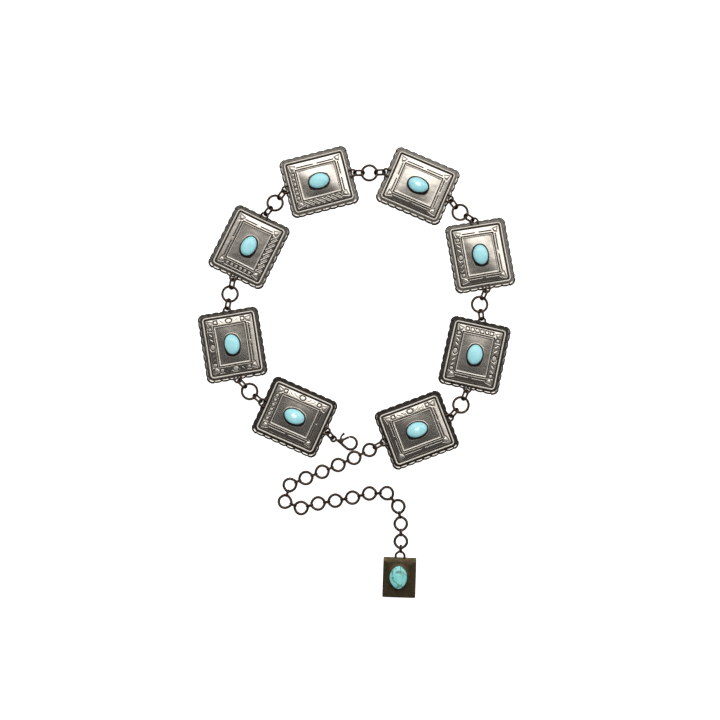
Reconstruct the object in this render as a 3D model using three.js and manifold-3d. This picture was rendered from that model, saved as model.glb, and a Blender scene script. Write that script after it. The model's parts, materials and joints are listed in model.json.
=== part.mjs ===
// Concho belt laid out flat: eight stamped rectangular conchos with turquoise stones, joined by
// wire rings, with a trigger clasp on one end and an extension chain with a pendant on the other.
// Millimetres, +Z up, the belt lies on Z = 0 and +Y is the far side of the loop.

import * as THREE from 'three';
import Module from 'manifold-3d';
import { mergeVertices } from 'three/addons/utils/BufferGeometryUtils.js';

const wasm = await Module();
wasm.setup();

// Concho sizes
const CONCHO_LENGTH = 61.6; // along the belt, over the scallops
const CONCHO_WIDTH = 54; // across the belt, over the scallops
const CONCHO_CORNER = 6; // radius of the plain corner lobes
const CORNER_CUT = 1 / 3; // of the lobe's radius, cut off the corners of the back and shoulder
const EDGE_HEIGHT = 1; // of the scalloped edge over the table
const SHOULDER_HEIGHT = 2.5; // where the fluted bevel ends
const SHOULDER_INSET = 1.8;
const SCALLOP_PITCH = 7;
const SCALLOP_DEPTH = 0.8;
const RELIEF_WIDTH = 13.2; // from the rim to the centre plate
const RELIEF_HEIGHT = 4.6; // of the centre plate's frame over the table

// Relief of a concho from the rim inward: inset as a share of RELIEF_WIDTH, height as a share
// of RELIEF_HEIGHT
const RELIEF = [
  { name: 'ridge outside', inset: 0.265, height: 0.82 },
  { name: 'ridge inside', inset: 0.32, height: 0.82 },
  { name: 'groove outside', inset: 0.36, height: 0.6 },
  { name: 'groove inside', inset: 0.42, height: 0.6 },
  { name: 'band outside', inset: 0.47, height: 0.8 },
  { name: 'band inside', inset: 0.89, height: 0.88 },
  { name: 'line', inset: 0.935, height: 0.76 },
  { name: 'frame outside', inset: 0.975, height: 1 },
  { name: 'frame inside', inset: 1.01, height: 1 },
  { name: 'plate', inset: 1.04, height: 0.93 },
];

// Stones: oval domes, the pendant's drawn out to a point at both ends
const STONE_LENGTH = 18;
const STONE_WIDTH = 13;
const STONE_HEIGHT = 4.4;
const PENDANT_STONE_LENGTH = 22;
const PENDANT_STONE_WIDTH = 16.4;
const PENDANT_STONE_HEIGHT = 3.6;
const ROUND_ENDS = 1; // power of the sine that gives an ellipse
const POINTED_ENDS = 1.35; // a higher power gives pointed ends
const STONE_SIDES = 12;

// Dome of a stone: share of the outline and share of the height
const DOME = [
  { outline: 1, height: 0 },
  { outline: 1, height: 0.4 },
  { outline: 0.62, height: 0.92 },
];

// Bezels: thin collars round the stones
const BEZEL_WALL = 0.6;
const BEZEL_HEIGHT = 1.5;
const SOLDER_DEPTH = 0.5; // how far a soldered piece reaches into its plate
const FIT_GAP = 0.3; // clearance between pieces

// Wire loops soldered to the ends of a concho
const EYE_RADIUS = 3; // to the middle of the wire
const EYE_WIRE = 1.4;
const EYE_STANDOFF = 0.4; // centre of the eye beyond the rim
const EYE_ROOT = 3; // how far its two ends run back over the rim

// Flat rings between the conchos
const RING_DIAMETER = 15.3;
const RING_WIRE = 1.6;

// Oval links that join a ring to an eye
const SIDE_LINK = { length: 11.2, width: 7, wire: 1.4, tilt: THREE.MathUtils.degToRad(50) };

// Link that joins the clasp to its concho
const CLASP_LINK = { length: 9.6, width: 7.2, wire: 1.4, tilt: THREE.MathUtils.degToRad(50) };

// Small oval links of the extension chain
const SMALL_LINK = { length: 8.3, width: 5.5, wire: 1.3, tilt: THREE.MathUtils.degToRad(75) };

// Round links of the extension chain
const CHAIN_DIAMETER = 12.4;
const CHAIN_WIRE = 1.5;
const CHAIN_SOLDER = 0.7; // share of two touching wires' radii between their middles

const CARRY_SHARE = 0.2; // how low a carried wire hangs in a tilted link, of its free play
const LINK_PLAY = 0.75; // clearance between a link's end and the wire that it holds

const LINK_SIDES = 5;
const LINK_STEPS = 10;
const RING_STEPS = 10;
const EYE_STEPS = 4;
const CLASP_SIDES = 6;
const HOOK_STEPS = 8;
const HUB_SIDES = 12;
const PIN_SIDES = 8;

// Pendant at the chain's end
const PENDANT_LENGTH = 35;
const PENDANT_WIDTH = 29;
const PENDANT_THICKNESS = 2.6;
const PENDANT_LOOP_RADIUS = 4.4;
const PENDANT_LOOP_WIRE = 1.3;
const PENDANT_LOOP_STANDOFF = 1.6;

// Trigger clasp
const CLASP_LENGTH = 22; // from the middle of the tail eye to the crown
const CLASP_WIDTH = 12.8; // over the loop
const CLASP_WIRE = 1.6;
const CLASP_THICKNESS = 3.2; // of the neck, along the pin
const CLASP_NECK_RADIUS = 2.3;
const CLASP_NECK_WIDTH = 1.9; // of the forged bar under the neck
const CLASP_NECK_HEIGHT = 2.4;
const CLASP_SHANK_HEIGHT = 2; // of the same bar where it ends
const CLASP_EYE_RADIUS = 2.3;
const CLASP_PIVOT = 7; // from the tail eye to the pin
const PIN_DIAMETER = 1;
const GATE_THICKNESS = 1;
const GATE_WIDTH = 1.3;
const HUB_DIAMETER = 2.9;
const LEVER_LENGTH = 6.4;
const LEVER_WIDTH = 1.1;
const LEVER_ANGLE = THREE.MathUtils.degToRad(61);
const NOSE_ANGLE = THREE.MathUtils.degToRad(117); // where the hook ends, from the loop's crown

// How the belt lies, as compass directions in degrees from +X: each concho's own heading, and
// the headings from its eye to the ring after it and from that ring to the next concho's eye
const BELT_ROUTE = [
  { concho: 156, toRing: 139, fromRing: 134 },
  { concho: 99.5, toRing: 80, fromRing: 79 },
  { concho: 64, toRing: 51, fromRing: 52 },
  { concho: 14.5, toRing: 0, fromRing: 3 },
  { concho: -23.5, toRing: -52.5, fromRing: -33 },
  { concho: -80.5, toRing: -114, fromRing: -82.5 },
  { concho: -102.5, toRing: -112.5, fromRing: -131.5 },
  { concho: -159.5 },
];

// Headings along the extension chain, the first from the last concho's eye to the first link
const CHAIN_ROUTE = [208, 207, 204, 203, 201, 203, 254, -21, 15, 9, 10, 14, 1, -49, -82, -90];
const PENDANT_LINK_HEADING = -95;
const PENDANT_HEADING = -92;
const CLASP_LINK_HEADING = -48;
const CLASP_HEADING = -14;

const METAL = new THREE.MeshStandardMaterial({ color: 0x827d76, roughness: 0.35, metalness: 1 });
const DARK_WIRE = new THREE.MeshStandardMaterial({ color: 0x3a302c, roughness: 0.4, metalness: 1 });
const DARK_PLATE = new THREE.MeshStandardMaterial({ color: 0x40342c, roughness: 0.5, metalness: 0.9 });
const TURQUOISE = new THREE.MeshStandardMaterial({ color: 0x86dce2, roughness: 0.3, metalness: 0 });

// Turns a closed geometry into a solid that can be joined and cut
function toSolid(geometry) {
  const bare = geometry.clone();
  bare.deleteAttribute('normal');
  bare.deleteAttribute('uv');
  const welded = mergeVertices(bare, 1e-4);
  const mesh = new wasm.Mesh({
    numProp: 3,
    vertProperties: new Float32Array(welded.attributes.position.array),
    triVerts: new Uint32Array(welded.index.array),
  });
  return new wasm.Manifold(mesh);
}

function toGeometry(solid) {
  const mesh = solid.getMesh();
  const geometry = new THREE.BufferGeometry();
  geometry.setAttribute('position', new THREE.BufferAttribute(mesh.vertProperties, 3));
  geometry.setIndex(new THREE.BufferAttribute(mesh.triVerts, 1));
  geometry.computeVertexNormals();
  return geometry;
}

function joined(geometries) {
  const [first, ...others] = geometries.map(toSolid);
  return toGeometry(others.reduce((sum, solid) => sum.add(solid), first));
}

function indexedGeometry(points, triangles) {
  const geometry = new THREE.BufferGeometry().setFromPoints(points);
  geometry.setIndex(triangles);
  geometry.computeVertexNormals();
  return geometry;
}

// Stack of level loops, each counterclockwise round the Z axis, closed with a fan at both ends.
// Neighbouring loops may differ in their number of points: the strip between them advances
// along whichever loop is behind in its angle.
function stackedSolid(loops) {
  const points = [];
  const starts = loops.map((loop) => {
    const start = points.length;
    points.push(...loop);
    return start;
  });
  const triangles = [];
  const angleOf = (loop, i) => {
    const turn = Math.floor(i / loop.length) * 2 * Math.PI;
    const point = loop[i % loop.length];
    return turn + THREE.MathUtils.euclideanModulo(Math.atan2(point.y, point.x), 2 * Math.PI);
  };
  for (let k = 0; k + 1 < loops.length; k++) {
    const low = loops[k];
    const high = loops[k + 1];
    let i = 0;
    let j = 0;
    while (i < low.length || j < high.length) {
      const a = starts[k] + (i % low.length);
      const b = starts[k + 1] + (j % high.length);
      const lowNext = angleOf(low, i) + angleOf(low, i + 1);
      const highNext = angleOf(high, j) + angleOf(high, j + 1);
      if (j >= high.length || (i < low.length && lowNext <= highNext)) {
        triangles.push(a, starts[k] + ((i + 1) % low.length), b);
        i++;
      } else {
        triangles.push(a, starts[k + 1] + ((j + 1) % high.length), b);
        j++;
      }
    }
  }
  const closeWithFan = (k, upward) => {
    const loop = loops[k];
    const middle = points.length;
    points.push(new THREE.Vector3(0, 0, loop[0].z));
    loop.forEach((_, i) => {
      const edge = [starts[k] + i, starts[k] + ((i + 1) % loop.length)];
      triangles.push(middle, ...(upward ? edge : edge.reverse()));
    });
  };
  closeWithFan(0, false);
  closeWithFan(loops.length - 1, true);
  return indexedGeometry(points, triangles);
}

// Wire of round or oval section along a level path, closed on itself or with flat ends.
// Each station has x, y, halfWidth in the plane and halfHeight across it.
function levelWire(stations, closed, sides) {
  const count = stations.length;
  const points = [];
  const triangles = [];
  stations.forEach((station, i) => {
    const before = stations[closed ? (i + count - 1) % count : Math.max(i - 1, 0)];
    const after = stations[closed ? (i + 1) % count : Math.min(i + 1, count - 1)];
    const along = new THREE.Vector2(after.x - before.x, after.y - before.y).normalize();
    for (let s = 0; s < sides; s++) {
      const angle = (2 * Math.PI * (s + 0.5)) / sides;
      const out = station.halfWidth * Math.cos(angle);
      const up = station.halfHeight * Math.sin(angle);
      points.push(new THREE.Vector3(station.x - along.y * out, station.y + along.x * out, up));
    }
  });
  const last = closed ? count : count - 1;
  for (let i = 0; i < last; i++) {
    for (let s = 0; s < sides; s++) {
      const a = i * sides + s;
      const b = i * sides + ((s + 1) % sides);
      const c = ((i + 1) % count) * sides + ((s + 1) % sides);
      const d = ((i + 1) % count) * sides + s;
      triangles.push(a, b, c, a, c, d);
    }
  }
  if (!closed) {
    for (let s = 1; s + 1 < sides; s++) {
      const end = (count - 1) * sides;
      triangles.push(0, s + 1, s);
      triangles.push(end, end + s, end + s + 1);
    }
  }
  return indexedGeometry(points, triangles);
}

// Oval link along X: two half circles joined by straight sides
function ovalLink({ length, width, wire }) {
  const endRadius = (width - wire) / 2;
  const endCentre = (length - width) / 2;
  const stepsPerEnd = LINK_STEPS / 2;
  const stations = [];
  for (const end of [1, -1]) {
    for (let i = 0; i < stepsPerEnd; i++) {
      const angle = Math.PI * (i / (stepsPerEnd - 1) - 0.5);
      stations.push({
        x: end * (endCentre + endRadius * Math.cos(angle)),
        y: end * endRadius * Math.sin(angle),
        halfWidth: wire / 2,
        halfHeight: wire / 2,
      });
    }
  }
  return levelWire(stations, true, LINK_SIDES);
}

// Height of the middle of an oval link that stands tilted on the table
function linkHeight({ width, wire, tilt }) {
  return ((width - wire) / 2) * Math.sin(tilt) + wire / 2;
}

// Height of a level wire that an oval link carries, just clear of the link's lower side
function carriedHeight(link, wireDiameter) {
  const halfHole = link.width / 2 - link.wire;
  const halfWire = wireDiameter / 2 / Math.sin(link.tilt);
  const sag = CARRY_SHARE * (halfHole - halfWire - FIT_GAP);
  return linkHeight(link) - sag * Math.sin(link.tilt);
}

// Distance between the middles of two wires that an oval link holds together
function linkReach(link, firstWire, secondWire) {
  return link.length - 2 * link.wire - (firstWire + secondWire) / 2 - 2 * LINK_PLAY;
}

const RING_RADIUS = (RING_DIAMETER - RING_WIRE) / 2;
const RING_LEVEL = carriedHeight(SIDE_LINK, RING_WIRE);
const EYE_LEVEL = carriedHeight(SIDE_LINK, EYE_WIRE);
const CHAIN_RADIUS = (CHAIN_DIAMETER - CHAIN_WIRE) / 2;
const CHAIN_LEVEL = carriedHeight(SMALL_LINK, CHAIN_WIRE);
const LOOP_LEVEL = carriedHeight(SMALL_LINK, PENDANT_LOOP_WIRE);

// Rectangle with its corners cut off, counterclockwise from the first quadrant
function cutRectangleLoop(halfX, halfY, inset, cut, z) {
  const x = halfX - inset;
  const y = halfY - inset;
  return [
    new THREE.Vector3(x, y - cut, z),
    new THREE.Vector3(x - cut, y, z),
    new THREE.Vector3(-x + cut, y, z),
    new THREE.Vector3(-x, y - cut, z),
    new THREE.Vector3(-x, -y + cut, z),
    new THREE.Vector3(-x + cut, -y, z),
    new THREE.Vector3(x - cut, -y, z),
    new THREE.Vector3(x, -y + cut, z),
  ];
}

// Rectangle loop of half sizes less an inset, counterclockwise from the first quadrant
function rectangleLoop(halfX, halfY, inset, z) {
  const x = halfX - inset;
  const y = halfY - inset;
  return [
    new THREE.Vector3(x, y, z),
    new THREE.Vector3(-x, y, z),
    new THREE.Vector3(-x, -y, z),
    new THREE.Vector3(x, -y, z),
  ];
}

// Scalloped outline: valleys and crests along each side and plain round lobes at the corners,
// counterclockwise from the middle of the right side
function scallopedLoop(halfX, halfY, z) {
  const valleyX = halfX - SCALLOP_DEPTH;
  const valleyY = halfY - SCALLOP_DEPTH;
  const sides = [
    { turn: 0, reach: valleyX, straight: 2 * (halfY - CONCHO_CORNER) },
    { turn: Math.PI / 2, reach: valleyY, straight: 2 * (halfX - CONCHO_CORNER) },
    { turn: Math.PI, reach: valleyX, straight: 2 * (halfY - CONCHO_CORNER) },
    { turn: 1.5 * Math.PI, reach: valleyY, straight: 2 * (halfX - CONCHO_CORNER) },
  ];
  const loop = [];
  for (const { turn, reach, straight } of sides) {
    const addPoint = (out, along) => {
      const x = out * Math.cos(turn) - along * Math.sin(turn);
      const y = out * Math.sin(turn) + along * Math.cos(turn);
      loop.push(new THREE.Vector3(x, y, z));
    };
    const scallops = Math.max(1, Math.round(straight / SCALLOP_PITCH));
    for (let i = 0; i <= 2 * scallops; i++) {
      const out = reach + (i % 2 === 1 ? SCALLOP_DEPTH : 0);
      addPoint(out, straight * (i / (2 * scallops) - 0.5));
    }
    const lobeCentre = reach + SCALLOP_DEPTH - CONCHO_CORNER;
    for (const share of [1 / 3, 2 / 3]) {
      const angle = (share * Math.PI) / 2;
      const out = lobeCentre + CONCHO_CORNER * Math.cos(angle);
      addPoint(out, straight / 2 + CONCHO_CORNER * Math.sin(angle));
    }
  }
  const angle = (point) => THREE.MathUtils.euclideanModulo(Math.atan2(point.y, point.x), 2 * Math.PI);
  return loop.sort((a, b) => angle(a) - angle(b));
}

// Outline of a stone, grown by a margin: x = a cos t, y = b |sin t|^power with the sine's sign,
// turned so that the drawn out ends lie along X
function stoneOutline(length, width, power, margin) {
  const outline = [];
  for (let i = 0; i < STONE_SIDES; i++) {
    const angle = (2 * Math.PI * i) / STONE_SIDES;
    const sine = Math.sin(angle);
    const x = (length / 2 + margin) * Math.cos(angle);
    const y = (width / 2 + margin) * Math.sign(sine) * Math.abs(sine) ** power;
    outline.push(new THREE.Vector2(x, y));
  }
  return outline;
}

function stoneGeometry(length, width, height, power) {
  const outline = stoneOutline(length, width, power, 0);
  const levels = DOME.map((row) =>
    outline.map((p) => new THREE.Vector3(p.x * row.outline, p.y * row.outline, height * row.height)),
  );
  return stackedSolid(levels);
}

// Collar that holds a stone, from inside its plate to its rim
function bezelGeometry(length, width, power, plateTop) {
  const inner = stoneOutline(length, width, power, FIT_GAP);
  const outer = stoneOutline(length, width, power, FIT_GAP + BEZEL_WALL);
  const shape = new THREE.Shape(outer);
  shape.holes.push(new THREE.Path(inner));
  const collar = new THREE.ExtrudeGeometry(shape, {
    depth: BEZEL_HEIGHT + SOLDER_DEPTH,
    bevelEnabled: false,
  });
  return collar.translate(0, 0, plateTop - SOLDER_DEPTH);
}

// Half round wire loop that stands out along X from a centre, its ends running back by a root
function eyeGeometry(radius, wire, centre, root, z) {
  const station = (x, y) => ({ x, y, halfWidth: wire / 2, halfHeight: wire / 2 });
  const stations = [station(-root, -radius)];
  for (let i = 0; i <= EYE_STEPS; i++) {
    const angle = Math.PI * (i / EYE_STEPS - 0.5);
    stations.push(station(radius * Math.cos(angle), radius * Math.sin(angle)));
  }
  stations.push(station(-root, radius));
  return levelWire(stations, false, LINK_SIDES).translate(centre, 0, z);
}

const PLATE_TOP = RELIEF_HEIGHT * RELIEF[RELIEF.length - 1].height;
const EYE_CENTRE = CONCHO_LENGTH / 2 + EYE_STANDOFF;

// Concho along X with its flat back on Z = 0, its bezel and an eye at each end
function conchoGeometry() {
  const halfX = CONCHO_LENGTH / 2;
  const halfY = CONCHO_WIDTH / 2;
  const loops = [
    cutRectangleLoop(halfX, halfY, SCALLOP_DEPTH, CONCHO_CORNER * CORNER_CUT, 0),
    scallopedLoop(halfX, halfY, EDGE_HEIGHT),
    cutRectangleLoop(halfX, halfY, SHOULDER_INSET, CONCHO_CORNER * CORNER_CUT, SHOULDER_HEIGHT),
  ];
  for (const row of RELIEF) {
    loops.push(rectangleLoop(halfX, halfY, RELIEF_WIDTH * row.inset, RELIEF_HEIGHT * row.height));
  }
  return joined([
    stackedSolid(loops),
    bezelGeometry(STONE_LENGTH, STONE_WIDTH, ROUND_ENDS, PLATE_TOP),
    eyeGeometry(EYE_RADIUS, EYE_WIRE, EYE_CENTRE, EYE_ROOT, EYE_LEVEL),
    eyeGeometry(EYE_RADIUS, EYE_WIRE, EYE_CENTRE, EYE_ROOT, EYE_LEVEL).rotateZ(Math.PI),
  ]);
}

// Pendant plate along X with its flat back on Z = 0, its bezel and the loop at its -X end
function pendantGeometry() {
  const plate = new THREE.BoxGeometry(PENDANT_LENGTH, PENDANT_WIDTH, PENDANT_THICKNESS);
  plate.translate(0, 0, PENDANT_THICKNESS / 2);
  const loopCentre = PENDANT_LENGTH / 2 + PENDANT_LOOP_STANDOFF;
  const loopRoot = PENDANT_LOOP_STANDOFF + SOLDER_DEPTH;
  return joined([
    plate,
    bezelGeometry(PENDANT_STONE_LENGTH, PENDANT_STONE_WIDTH, POINTED_ENDS, PENDANT_THICKNESS),
    eyeGeometry(PENDANT_LOOP_RADIUS, PENDANT_LOOP_WIRE, loopCentre, loopRoot, LOOP_LEVEL).rotateZ(Math.PI),
  ]);
}

const LOOP_RADIUS = (CLASP_WIDTH - CLASP_WIRE) / 2;
const LOOP_CENTRE = CLASP_LENGTH - CLASP_WIRE / 2 - LOOP_RADIUS;

// Point on the clasp's loop, at an angle round the loop's centre from its crown
function onLoop(angle) {
  return {
    x: LOOP_CENTRE + LOOP_RADIUS * Math.cos(angle),
    y: LOOP_RADIUS * Math.sin(angle),
  };
}

// Cylinder along Z round a point
function pinGeometry(radius, height, x, sides) {
  const pin = new THREE.CylinderGeometry(radius, radius, height, sides);
  return pin.rotateX(Math.PI / 2).translate(x, 0, 0);
}

// Hook of the clasp along X from the middle of its tail eye, level at Z = 0: the tail eye, the
// forked neck with its pin, the shank, and the loop round to the nose
function claspBodyGeometry() {
  const shankEnd = onLoop(-NOSE_ANGLE);
  const halfNeck = CLASP_NECK_RADIUS / 2;
  const section = (x, y, width, height) => ({ x, y, halfWidth: width / 2, halfHeight: height / 2 });
  const stations = [
    section(CLASP_EYE_RADIUS, 0, CLASP_WIRE, CLASP_SHANK_HEIGHT),
    section(CLASP_PIVOT - halfNeck, -halfNeck, CLASP_NECK_WIDTH, CLASP_NECK_HEIGHT),
    section(CLASP_PIVOT + halfNeck, -2 * halfNeck, CLASP_NECK_WIDTH, CLASP_NECK_HEIGHT),
    section(shankEnd.x, shankEnd.y, CLASP_NECK_WIDTH, CLASP_SHANK_HEIGHT),
  ];
  for (let i = 1; i <= HOOK_STEPS; i++) {
    const point = onLoop(THREE.MathUtils.lerp(-NOSE_ANGLE, NOSE_ANGLE, i / HOOK_STEPS));
    stations.push(section(point.x, point.y, CLASP_WIRE, CLASP_WIRE));
  }
  const cheeks = pinGeometry(CLASP_NECK_RADIUS, CLASP_THICKNESS, CLASP_PIVOT, HUB_SIDES);
  const slotHeight = GATE_THICKNESS + 2 * FIT_GAP;
  const hubRoom = HUB_DIAMETER / 2 + FIT_GAP;
  const slotSide = hubRoom + 1.5 * CLASP_NECK_RADIUS; // from behind the hub to past the cheeks
  const slot = new THREE.BoxGeometry(slotSide, slotSide, slotHeight);
  slot.translate(CLASP_PIVOT + slotSide / 2 - hubRoom, slotSide / 2 - hubRoom, 0);
  const pin = pinGeometry(PIN_DIAMETER / 2, CLASP_THICKNESS - 2 * FIT_GAP, CLASP_PIVOT, PIN_SIDES);
  const eye = new THREE.TorusGeometry(CLASP_EYE_RADIUS, EYE_WIRE / 2, LINK_SIDES, LINK_STEPS);
  const hook = levelWire(stations, false, CLASP_SIDES);
  const forked = toSolid(cheeks).add(toSolid(hook)).subtract(toSolid(slot));
  return toGeometry(forked.add(toSolid(pin)).add(toSolid(eye)));
}

// Bar from the pin outward at an angle, level at Z = 0
function armGeometry(length, width, angle) {
  const arm = new THREE.BoxGeometry(length, width, GATE_THICKNESS);
  return arm.translate(length / 2, 0, 0).rotateZ(angle);
}

// Gate and thumb lever in one piece, with the middle of the pin at the origin
function claspGateGeometry() {
  const nose = onLoop(NOSE_ANGLE);
  const reach = Math.hypot(nose.x - CLASP_PIVOT, nose.y) - 2 * FIT_GAP;
  const angle = Math.atan2(nose.y, nose.x - CLASP_PIVOT);
  const hub = pinGeometry(HUB_DIAMETER / 2, GATE_THICKNESS, 0, HUB_SIDES);
  const bore = pinGeometry(PIN_DIAMETER / 2 + FIT_GAP, 2 * GATE_THICKNESS, 0, HUB_SIDES);
  const gate = armGeometry(reach, GATE_WIDTH, angle);
  const lever = armGeometry(LEVER_LENGTH, LEVER_WIDTH, LEVER_ANGLE);
  const solid = toSolid(hub).add(toSolid(gate)).add(toSolid(lever)).subtract(toSolid(bore));
  return toGeometry(solid);
}

// Point at a distance from another along a heading in degrees
function stepFrom(point, distance, heading) {
  const angle = THREE.MathUtils.degToRad(heading);
  return new THREE.Vector2(
    point.x + distance * Math.cos(angle),
    point.y + distance * Math.sin(angle),
  );
}

const belt = new THREE.Group();

// Adds a named piece, level and turned to a heading in degrees, or tilted about its length too
function place(name, geometry, material, point, z, heading, tilt = 0) {
  const mesh = new THREE.Mesh(geometry, material.clone());
  mesh.name = name;
  mesh.position.set(point.x, point.y, z);
  mesh.rotation.set(tilt, 0, THREE.MathUtils.degToRad(heading), 'ZYX');
  belt.add(mesh);
  return mesh;
}

// Places an oval link so that it holds two wires, the first with its middle at a point
function placeLink(name, link, geometry, point, firstWire, secondWire, heading) {
  const reach = linkReach(link, firstWire, secondWire);
  const middle = stepFrom(point, (reach + (secondWire - firstWire) / 2) / 2, heading);
  return place(name, geometry, DARK_WIRE, middle, linkHeight(link), heading, link.tilt);
}

// Lays the conchos, stones, rings and side links along the route
function placeBelt() {
  const concho = conchoGeometry();
  const stone = stoneGeometry(STONE_LENGTH, STONE_WIDTH, STONE_HEIGHT, ROUND_ENDS);
  const ring = new THREE.TorusGeometry(RING_RADIUS, RING_WIRE / 2, LINK_SIDES, RING_STEPS);
  const sideLink = ovalLink(SIDE_LINK);
  const reach = linkReach(SIDE_LINK, EYE_WIRE, RING_WIRE);
  const eyeToRing = EYE_RADIUS + reach + RING_RADIUS;
  let centre = new THREE.Vector2(0, 0);
  const start = stepFrom(centre, -EYE_CENTRE, BELT_ROUTE[0].concho);
  let end = null;
  BELT_ROUTE.forEach((row, i) => {
    const number = i + 1;
    place(`concho_${number}`, concho, METAL, centre, 0, row.concho);
    place(`stone_${number}`, stone, TURQUOISE, centre, PLATE_TOP + FIT_GAP, row.concho);
    const eye = stepFrom(centre, EYE_CENTRE, row.concho);
    if (i + 1 === BELT_ROUTE.length) {
      end = eye;
      return;
    }
    const eyeWire = stepFrom(eye, EYE_RADIUS, row.toRing);
    const ringMiddle = stepFrom(eye, eyeToRing, row.toRing);
    const ringWire = stepFrom(ringMiddle, RING_RADIUS, row.fromRing);
    const nextEye = stepFrom(ringMiddle, eyeToRing, row.fromRing);
    placeLink(`link_${number}a`, SIDE_LINK, sideLink, eyeWire, EYE_WIRE, RING_WIRE, row.toRing);
    place(`ring_${number}`, ring, DARK_WIRE, ringMiddle, RING_LEVEL, row.toRing);
    placeLink(`link_${number}b`, SIDE_LINK, sideLink, ringWire, RING_WIRE, EYE_WIRE, row.fromRing);
    centre = stepFrom(nextEye, EYE_CENTRE, BELT_ROUTE[i + 1].concho);
  });
  return { start, end };
}

// Hangs the clasp on the first concho's free eye
function placeClasp(eye) {
  const link = ovalLink(CLASP_LINK);
  const eyeWire = stepFrom(eye, EYE_RADIUS, CLASP_LINK_HEADING);
  placeLink('clasp_link', CLASP_LINK, link, eyeWire, EYE_WIRE, EYE_WIRE, CLASP_LINK_HEADING);
  const reach = linkReach(CLASP_LINK, EYE_WIRE, EYE_WIRE);
  const tail = stepFrom(eyeWire, reach + CLASP_EYE_RADIUS, CLASP_LINK_HEADING);
  place('clasp_body', claspBodyGeometry(), DARK_WIRE, tail, EYE_LEVEL, CLASP_HEADING);
  const pin = stepFrom(tail, CLASP_PIVOT, CLASP_HEADING);
  place('clasp_gate', claspGateGeometry(), DARK_WIRE, pin, EYE_LEVEL, CLASP_HEADING);
}

// Extension chain fused into one piece, in the frame of its first link's middle
function chainGeometry() {
  const round = new THREE.TorusGeometry(CHAIN_RADIUS, CHAIN_WIRE / 2, LINK_SIDES, LINK_STEPS);
  round.rotateZ(Math.PI / LINK_STEPS);
  const flatRadius = CHAIN_RADIUS * Math.cos(Math.PI / LINK_STEPS);
  const wires = (CHAIN_WIRE + SMALL_LINK.wire) / 2;
  const gap = SMALL_LINK.length - SMALL_LINK.wire - 2 * CHAIN_SOLDER * wires;
  const small = ovalLink(SMALL_LINK).rotateX(SMALL_LINK.tilt);
  small.translate(0, 0, linkHeight(SMALL_LINK) - CHAIN_LEVEL);
  const links = [round.clone()];
  let middle = new THREE.Vector2(0, 0);
  for (const heading of CHAIN_ROUTE.slice(1)) {
    const turn = THREE.MathUtils.degToRad(heading);
    const join = stepFrom(middle, flatRadius + gap / 2, heading);
    links.push(small.clone().rotateZ(turn).translate(join.x, join.y, 0));
    middle = stepFrom(middle, 2 * flatRadius + gap, heading);
    links.push(round.clone().rotateZ(turn).translate(middle.x, middle.y, 0));
  }
  return { geometry: joined(links), lastMiddle: middle };
}

// Hangs the extension chain on the last concho's free eye and the pendant on the chain
function placeChain(eye) {
  const [heading] = CHAIN_ROUTE;
  const sideLink = ovalLink(SIDE_LINK);
  const eyeWire = stepFrom(eye, EYE_RADIUS, heading);
  placeLink('chain_start_link', SIDE_LINK, sideLink, eyeWire, EYE_WIRE, CHAIN_WIRE, heading);
  const reach = linkReach(SIDE_LINK, EYE_WIRE, CHAIN_WIRE);
  const first = stepFrom(eyeWire, reach + CHAIN_RADIUS, heading);
  const { geometry, lastMiddle } = chainGeometry();
  place('extension_chain', geometry, DARK_WIRE, first, CHAIN_LEVEL, 0);

  const last = first.clone().add(lastMiddle);
  const lastWire = stepFrom(last, CHAIN_RADIUS, PENDANT_LINK_HEADING);
  placeLink('pendant_link', SMALL_LINK, ovalLink(SMALL_LINK), lastWire, CHAIN_WIRE,
    PENDANT_LOOP_WIRE, PENDANT_LINK_HEADING);
  const linkStep = linkReach(SMALL_LINK, CHAIN_WIRE, PENDANT_LOOP_WIRE);
  const loop = stepFrom(lastWire, linkStep + PENDANT_LOOP_RADIUS, PENDANT_LINK_HEADING);
  const middle = stepFrom(loop, PENDANT_LOOP_STANDOFF + PENDANT_LENGTH / 2, PENDANT_HEADING);
  place('pendant_plate', pendantGeometry(), DARK_PLATE, middle, 0, PENDANT_HEADING);
  const stone = stoneGeometry(
    PENDANT_STONE_LENGTH, PENDANT_STONE_WIDTH, PENDANT_STONE_HEIGHT, POINTED_ENDS);
  place('pendant_stone', stone, TURQUOISE, middle, PENDANT_THICKNESS + FIT_GAP, PENDANT_HEADING);
}

const ends = placeBelt();
placeClasp(ends.start);
placeChain(ends.end);

// Origin under the middle of the belt
belt.updateMatrixWorld(true);
const box = new THREE.Box3().setFromObject(belt, true);
const boxCentre = box.getCenter(new THREE.Vector3());
belt.position.set(-boxCentre.x, -boxCentre.y, -box.min.z);

export default belt;
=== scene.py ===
# Looks of the concho belt: stamped conchos with turquoise stones, wire rings, a trigger clasp and
# an extension chain with a pendant, on a pale floor in soft light. Lengths are in metres, unless
# millimetres are named.

import json
import math

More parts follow.
